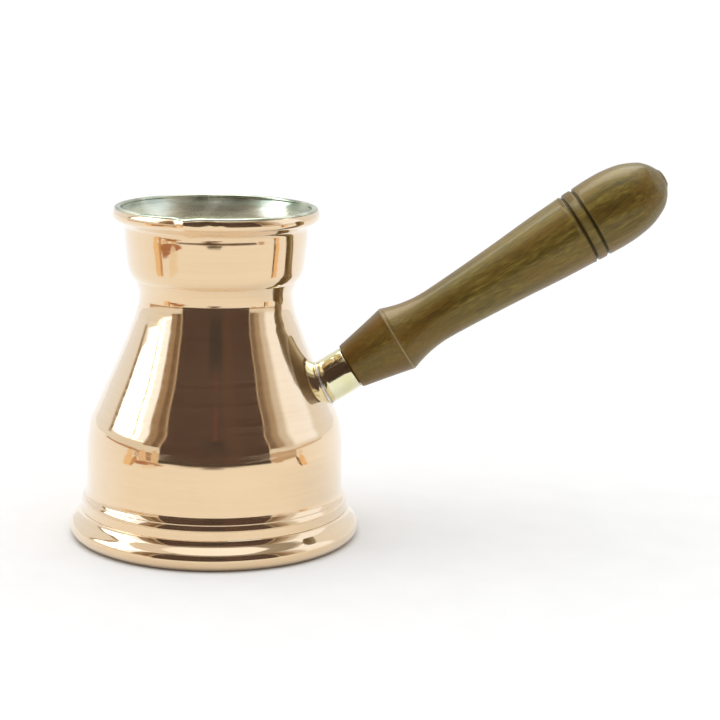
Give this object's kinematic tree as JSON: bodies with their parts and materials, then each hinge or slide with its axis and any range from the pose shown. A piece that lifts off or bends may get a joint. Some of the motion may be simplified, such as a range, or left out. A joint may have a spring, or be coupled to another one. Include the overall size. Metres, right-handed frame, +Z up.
{
  "type": "cezve",
  "caption": "Spun copper cezve with a flared lip, side pouring beak, stepped foot, tinned inside, brass ferrule and a turned wooden handle.",
  "frame": {"origin": "on the pot's centreline, on the flat underside of its foot", "axes": "+Z up through the open mouth, +X the side that the handle leaves from, -Y the side of the pouring beak"},
  "size_m": [0.197, 0.0964, 0.1259],
  "materials": {
    "copper": "mirror-polished copper with fine level lathe marks",
    "tin": "hand-wiped tin, satin, with level wipe marks",
    "brass": "polished yellow brass",
    "solder": "lumpy silver solder, half bright",
    "wood": "olive-brown stained hardwood under thin lacquer, grain along the handle",
    "steel": "plain zinc-plated steel, hidden inside"
  },
  "bodies": {
    "root": {"copper_body": "copper", "tin_lining": "tin", "handle_ferrule": "brass", "solder_fillet": "solder", "wood_handle": "wood", "ferrule_plate": "brass", "handle_stud": "steel", "stud_nut": "steel"}
  },
  "joints": []
}
